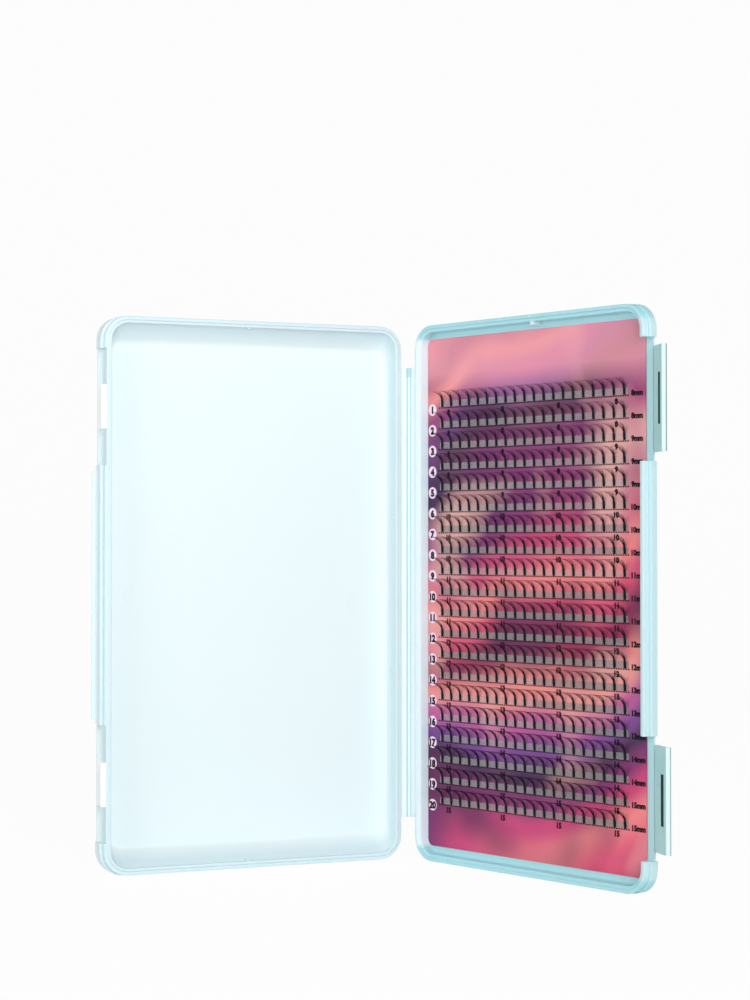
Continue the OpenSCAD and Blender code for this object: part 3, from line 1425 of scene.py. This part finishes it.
@dataclass
class CardPrint:
    """Row numbers, lengths and cut lines, printed on the card.

    A place called u is a distance from the hinge side of the tray. Drops, rises and the two
    edges of a dash are measured from the lower edge of a row's strip. All in mm.
    """

    sizes: CaseSizes
    wardrobe: Wardrobe
    nodes: dict[str, bpy.types.Object]
    card_z: float = SIZES.card_z
    ink_t: float = 0.02
    row_from_bottom: float = 17.0
    row_pitch: float = 6.24
    lengths: tuple[int, ...] = (
        8, 8, 9, 9, 9, 10, 10, 10, 11, 11, 11, 12, 12, 13, 13, 13, 14, 14, 15, 15,
    )
    number_u: float = 4.25
    number_drop: float = 0.7
    number_h: float = 2.0
    disc_radius: float = 1.75
    disc_t: float = 0.016
    disc_lift: float = 0.002
    length_u: tuple[float, ...] = (11.4, 34.5, 57.2, 79.4)
    length_drop: float = 1.65
    length_h: float = 1.55
    label_u: float = 84.9
    label_rise: float = 0.45
    label_h: float = 1.5
    figure_lift: float = 0.02
    line_u: Flat = (7.0, 84.4)
    line_lift: float = 0.004
    dash_len: float = 0.58
    dash_pitch: float = 0.9
    dash_edges: Flat = (-0.44, -0.04)
    font_boldness: float = 0.065
    font_figure_h: float = 0.72
    library: dict[str, Glyph] = field(default_factory=dict)

    def row_y(self, row: int) -> float:
        """Height of a row's strip.

        Args:
            row: Row number, 1 at the top.

        Returns:
            Height of the strip's lower edge, in mm.
        """
        return self.row_from_bottom + (len(self.lengths) - row) * self.row_pitch

    def glyphs(self, text: str) -> Glyph:
        """Outline faces of a short text at a height of one.

        Args:
            text: The text.

        Returns:
            Points, faces and the text's width, all for a height of one.
        """
        curve = bpy.data.curves.new("glyph", "FONT")
        curve.body = text
        curve.offset = self.font_boldness
        curve.resolution_u = 3
        holder = bpy.data.objects.new("glyph", curve)
        bpy.context.scene.collection.objects.link(holder)
        bpy.context.view_layer.update()
        shown = holder.evaluated_get(bpy.context.evaluated_depsgraph_get())
        mesh = shown.to_mesh()
        points = [(v.co.x, v.co.y) for v in mesh.vertices]
        faces = [tuple(p.vertices) for p in mesh.polygons]
        shown.to_mesh_clear()
        bpy.data.objects.remove(holder)
        bpy.data.curves.remove(curve)
        left = min(p[0] for p in points)
        width = max(p[0] for p in points) - left
        tall = self.font_figure_h
        return [((x - left) / tall, y / tall) for x, y in points], faces, width / tall

    def write(
        self, maker: MeshMaker, text: str, centre: Flat, height: float, anchor: Anchor
    ) -> None:
        """Prints a text as a thin layer of ink.

        Args:
            maker: The mesh that the ink goes into.
            text: The text.
            centre: Its place as (x, y); y is the middle of its height.
            height: Height of its figures, in mm.
            anchor: How it lies about its place.
        """
        if text not in self.library:
            self.library[text] = self.glyphs(text)
        points, faces, width = self.library[text]
        x0 = centre[0] - width * height * anchor.value
        y0 = centre[1] - height / 2
        foot = self.card_z + self.figure_lift
        below, above = (
            [maker.point((x0 + x * height, y0 + y * height, z)) for x, y in points]
            for z in (foot, foot + self.ink_t)
        )
        # An edge that only one face has is on the figure's rim, where a wall closes it.
        rim: dict[tuple[int, int], None] = {}
        for face in faces:
            maker.mesh.faces.new([above[i] for i in face])
            maker.mesh.faces.new([below[i] for i in reversed(face)])
            for a, b in zip(face, face[1:] + face[:1]):
                if (b, a) in rim:
                    del rim[(b, a)]
                else:
                    rim[(a, b)] = None
        for a, b in rim:
            maker.mesh.faces.new((below[a], below[b], above[b], above[a]))

    def build(self) -> None:
        """Dresses the card and prints on it."""
        self.wardrobe.dress(self.nodes["lash_card"], Finish.CARD)
        self.wardrobe.dress(self.nodes["card_tape"], Finish.TAPE)
        gap, r, t = self.sizes.hinge_gap, self.disc_radius, self.disc_t
        disc = ((r, 0.0), (r, t / 2), (r - t, t))
        discs, ink, lines = (MeshMaker(self.sizes.base_place) for _ in range(3))
        for row, length in enumerate(self.lengths, 1):
            y = self.row_y(row)
            spot = (gap + self.number_u, y - self.number_drop)
            discs.turned((*spot, self.card_z + self.disc_lift), disc, 32)
            self.write(ink, str(row), spot, self.number_h, Anchor.MIDDLE)
            for u in self.length_u:
                spot = (gap + u, y - self.length_drop)
                self.write(ink, str(length), spot, self.length_h, Anchor.MIDDLE)
            spot = (gap + self.label_u, y + self.label_rise)
            self.write(ink, f"{length}mm", spot, self.label_h, Anchor.LEFT)
            self.dashes(lines, y)
        self.put(discs, "card_discs", Finish.DISC)
        self.put(ink, "card_figures", Finish.INK)
        self.put(lines, "card_cut_lines", Finish.INK)

    def dashes(self, maker: MeshMaker, y: float) -> None:
        """One row's broken line under its strip.

        Args:
            maker: The mesh that the line goes into.
            y: Height of the strip's lower edge.
        """
        z = self.card_z + self.line_lift
        low, high = self.dash_edges
        u = self.line_u[0]
        while u < self.line_u[1]:
            x = self.sizes.hinge_gap + u
            maker.box((x, y + low, z), (x + self.dash_len, y + high, z + self.ink_t))
            u += self.dash_pitch

    def put(self, maker: MeshMaker, name: str, finish: Finish) -> None:
        """Makes a printed piece and hangs it on the base.

        Args:
            maker: Its mesh.
            name: Its name.
            finish: Its finish.
        """
        piece = maker.finish(name, smooth=20.0, tidy=False)
        self.wardrobe.dress(piece, finish)
        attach(piece, "base")
        LOG.info("%s: %d faces", name, len(piece.data.polygons))


# Lashes


@dataclass
class LashRows:
    """Twenty strips, each with twenty fans of curled hairs.

    Reach and rise go from the shortest row's value to the longest row's. Each of stem_rings
    is a height, half a width, a thickness as a share of stem_t and a distance out of the
    strip. Each of root_points is a share of a hair's lean, a height and a distance out of the
    strip. Each play is the range of a random draw for one hair. All in mm, apart from shares.
    """

    sizes: CaseSizes
    wardrobe: Wardrobe
    nodes: dict[str, bpy.types.Object]
    card: CardPrint
    seed: int = 11
    fans: int = 20
    hairs: int = 28
    fan_from_hinge: float = 9.0
    fan_pitch: float = 3.88
    strip_z: float = SIZES.card_z + SIZES.strip_t
    strip_ease: float = 0.05
    stem_t: float = 0.24
    stem_taper: float = 0.7
    stem_rings: tuple[tuple[float, float, float, float], ...] = (
        (0.0, 0.34, 0.7, 0.0),
        (0.12, 0.42, 1.0, 0.0),
        (0.9, 0.47, 1.0, 0.02),
        (1.6, 0.46, 1.0, 0.08),
        (2.1, 0.38, 0.9, 0.16),
        (2.6, 0.28, 0.8, 0.30),
        (3.1, 0.17, 0.5, 0.52),
        (3.5, 0.08, 0.3, 0.80),
    )
    reach: Flat = (4.3, 7.0)
    out_share: float = 0.78
    rise: Flat = (2.8, 3.5)
    spread: float = 1.9
    out_play: Flat = (0.9, 1.0)
    lean_play: Flat = (-0.12, 0.12)
    rise_play: Flat = (-0.15, 0.05)
    root_points: tuple[Point, ...] = ((0.06, 0.25, 0.13), (0.10, 1.1, 0.14))
    curl_from: float = 1.8
    curl_z: float = 0.15
    curl_lean: float = 0.12
    lean_power: float = 1.35
    thick: float = 0.042
    thinned: float = 0.88
    thin_power: float = 0.9
    steps: int = 8

    def hair(self, out: float, side: float, rise: float) -> list[Point]:
        """Path of one hair about its fan's foot: up through the stem, then curled outwards.

        Args:
            out: How far its end stands out of the strip.
            side: How far its end leans to the side.
            rise: How far it rises above the curl's start.

        Returns:
            Points as (across, up, out).
        """
        path: list[Point] = [(share * side, y, z) for share, y, z in self.root_points]
        for k in range(self.steps + 1):
            t = k / self.steps
            a = t * math.pi / 2
            lean = self.curl_lean + (1.0 - self.curl_lean) * t**self.lean_power
            outwards = self.curl_z + (out - self.curl_z) * (1 - math.cos(a))
            path.append((side * lean, self.curl_from + rise * math.sin(a), outwards))
        return path

    def tube(self, maker: MeshMaker, foot: Point, path: Sequence[Point]) -> None:
        """Adds a tapered three-sided hair.

        Args:
            maker: The row's mesh.
            foot: The fan's foot.
            path: The hair's path about the foot.
        """
        last = len(path) - 1
        rings: list[list[Point]] = []
        for index, here in enumerate(path):
            before = Vector(path[max(index - 1, 0)])
            after = Vector(path[min(index + 1, last)])
            ahead = (after - before).normalized()
            side = ahead.cross(Vector((0.0, 1.0, 0.3))).normalized()
            over = ahead.cross(side)
            radius = self.thick * (1.0 - self.thinned * (index / last) ** self.thin_power)
            middle = Vector(foot) + Vector(here)
            rings.append(
                [
                    tuple(middle + radius * (side * math.cos(turn) + over * math.sin(turn)))
                    for turn in (math.tau * corner / 3 for corner in range(3))
                ]
            )
        maker.loft(rings)

    def stem(self, maker: MeshMaker, foot: Point) -> None:
        """Adds a fan's bonded base: a flat foot that narrows upwards.

        Args:
            maker: The row's mesh.
            foot: The fan's foot.
        """
        x, y, z = foot
        rings = []
        for up, half, deep, out in self.stem_rings:
            front = half * self.stem_taper
            low, high = z + out, z + out + deep * self.stem_t
            rings.append(
                [
                    (x - half, y + up, low),
                    (x + half, y + up, low),
                    (x + front, y + up, high),
                    (x - front, y + up, high),
                ]
            )
        maker.loft(rings)

    def fan(
        self, maker: MeshMaker, foot: Point, out: float, rise: float, chance: random.Random
    ) -> None:
        """Adds one fan.

        Args:
            maker: The row's mesh.
            foot: The fan's foot.
            out: How far its hairs stand out of the strip.
            rise: How far its hairs rise above the curl's start.
            chance: Source of the small differences between hairs.
        """
        self.stem(maker, foot)
        for k in range(self.hairs):
            lean = (2.0 * k / (self.hairs - 1) - 1.0) * self.spread
            path = self.hair(
                self.out_share * out * chance.uniform(*self.out_play),
                lean + chance.uniform(*self.lean_play),
                rise + chance.uniform(*self.rise_play),
            )
            self.tube(maker, foot, path)

    def row(self, number: int, chance: random.Random) -> None:
        """Makes one row of fans and dresses its strip.

        Args:
            number: The row's number, 1 at the top.
            chance: Source of the small differences between hairs.
        """
        strip = self.nodes[f"lash_strip_{number:02d}"]
        self.wardrobe.dress(strip, Finish.STRIP)
        ease_edges(strip, self.strip_ease)
        share = (number - 1) / (len(self.card.lengths) - 1)
        out = self.reach[0] + (self.reach[1] - self.reach[0]) * share
        rise = self.rise[0] + (self.rise[1] - self.rise[0]) * share
        maker = MeshMaker(self.sizes.base_place)
        for place in range(self.fans):
            x = self.sizes.hinge_gap + self.fan_from_hinge + place * self.fan_pitch
            foot = (x, self.card.row_y(number), self.strip_z)
            self.fan(maker, foot, out, rise, chance)
        piece = maker.finish(f"lash_fans_{number:02d}", smooth=70.0, tidy=False)
        self.wardrobe.dress(piece, Finish.FIBRE)
        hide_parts(f"lash_row_{number:02d}")
        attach(piece, "base")
        LOG.info("%s: %d faces", piece.name, len(piece.data.polygons))

    def build(self) -> None:
        """Makes every row from one seeded source of chance."""
        chance = random.Random(self.seed)
        for number in range(1, len(self.card.lengths) + 1):
            self.row(number, chance)


# Studio


@dataclass(frozen=True)
class Softbox:
    """A rectangular lamp: its middle and size in metres, its power in watts."""

    name: str
    place: Point
    size: Flat
    power: float
    aim: Point = (-0.02, -0.03, 0.08)

    def build(self) -> None:
        """Adds the lamp, facing the case."""
        data = bpy.data.lights.new(self.name, "AREA")
        data.shape = "RECTANGLE"
        data.size, data.size_y = self.size
        data.energy = self.power
        lamp = bpy.data.objects.new(self.name, data)
        lamp.location = self.place
        ahead = Vector(self.aim) - Vector(self.place)
        lamp.rotation_euler = ahead.to_track_quat("-Z", "Y").to_euler()
        bpy.context.scene.collection.objects.link(lamp)


@dataclass
class Studio:
    """Camera, lamps, world, floor and backdrop. Places are in metres, angles in degrees.

    The floor runs from near to far along the camera's heading, turns up over bend and ends
    at the backdrop's height. Room is the strength of the room's light.
    """

    wardrobe: Wardrobe
    eye: Point = (0.4419, -0.4381, 0.0959)
    heading: float = 49.289
    tilt: float = 1.0413
    lens: float = 78.15
    sensor: float = 36.0
    clip: Flat = (0.01, 20.0)
    room: float = 0.29
    near: float = -1.6
    far: float = 0.9
    bend: float = 0.5
    bend_steps: int = 10
    height: float = 2.2
    half_width: float = 2.2
    lamps: tuple[Softbox, ...] = (
        Softbox("right_softbox", (0.9, -0.35, 0.35), (0.7, 0.7), 6.7),
        Softbox("front_softbox", (-0.15, -1.0, 0.3), (0.8, 0.6), 3.6),
    )

    def world(self) -> bpy.types.World:
        """Soft white room that gives even light and looks white to the camera.

        Returns:
            The world.
        """
        world = bpy.data.worlds.new("soft_room")
        sheet = NodeSheet(world)
        light, white = (
            sheet.node(
                "ShaderNodeBackground", {}, {"Color": (1.0, 1.0, 1.0), "Strength": strength}
            )
            for strength in (self.room, 1.0)
        )
        seen = sheet.ray("Is Camera Ray")
        shown = sheet.node("ShaderNodeMixShader", {}, {0: seen, 1: light, 2: white})
        sheet.finish(shown, "ShaderNodeOutputWorld")
        return world

    def camera(self) -> bpy.types.Object:
        """Puts a camera where the photograph was taken from.

        Returns:
            The camera.
        """
        data = bpy.data.cameras.new("photo_camera")
        data.lens = self.lens
        data.sensor_width = self.sensor
        data.clip_start, data.clip_end = self.clip
        camera = bpy.data.objects.new("photo_camera", data)
        camera.location = self.eye
        camera.rotation_euler = (
            math.radians(90.0 + self.tilt),
            0.0,
            math.radians(self.heading),
        )
        bpy.context.scene.collection.objects.link(camera)
        return camera

    def stage(self) -> None:
        """Makes the floor with a backdrop that curves up behind the case."""
        turns = [math.radians(90.0 * k / self.bend_steps) for k in range(self.bend_steps + 1)]
        section = [(self.near, 0.0)]
        section += [
            (self.far + self.bend * math.sin(a), self.bend * (1.0 - math.cos(a)))
            for a in turns
        ]
        section += [(self.far + self.bend, self.height)]
        mesh = bmesh.new()
        turn = Matrix.Rotation(math.radians(self.heading), 4, "Z")
        rows = [
            [
                mesh.verts.new(turn @ Vector((x, along, up)))
                for x in (-self.half_width, self.half_width)
            ]
            for along, up in section
        ]
        for low, high in zip(rows, rows[1:]):
            mesh.faces.new((low[0], low[1], high[1], high[0]))
        data = bpy.data.meshes.new("floor_and_backdrop")
        mesh.to_mesh(data)
        mesh.free()
        for face in data.polygons:
            face.use_smooth = True
        floor = bpy.data.objects.new("floor_and_backdrop", data)
        bpy.context.scene.collection.objects.link(floor)
        self.wardrobe.dress(floor, Finish.FLOOR)

    def build(self) -> None:
        """Sets up the whole studio."""
        scene = bpy.context.scene
        scene.view_settings.view_transform = "Standard"
        scene.world = self.world()
        scene.camera = self.camera()
        self.stage()
        for lamp in self.lamps:
            lamp.build()
        LOG.info("studio ready")


def main() -> None:
    """Builds the case, piece by piece, and its studio."""
    logging.basicConfig(level=logging.INFO, format="%(name)s: %(message)s")
    for old in list(bpy.data.objects):
        bpy.data.objects.remove(old)
    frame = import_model()
    wardrobe = Wardrobe()
    nodes = frame["nodes"]
    Studio(wardrobe).build()
    BaseTray(SIZES, wardrobe).build()
    Lid(SIZES, wardrobe).build()
    SmallMouldings(nodes, wardrobe).build()
    card = CardPrint(SIZES, wardrobe, nodes)
    card.build()
    LashRows(SIZES, wardrobe, nodes, card).build()


if __name__ == "__main__":
    main()
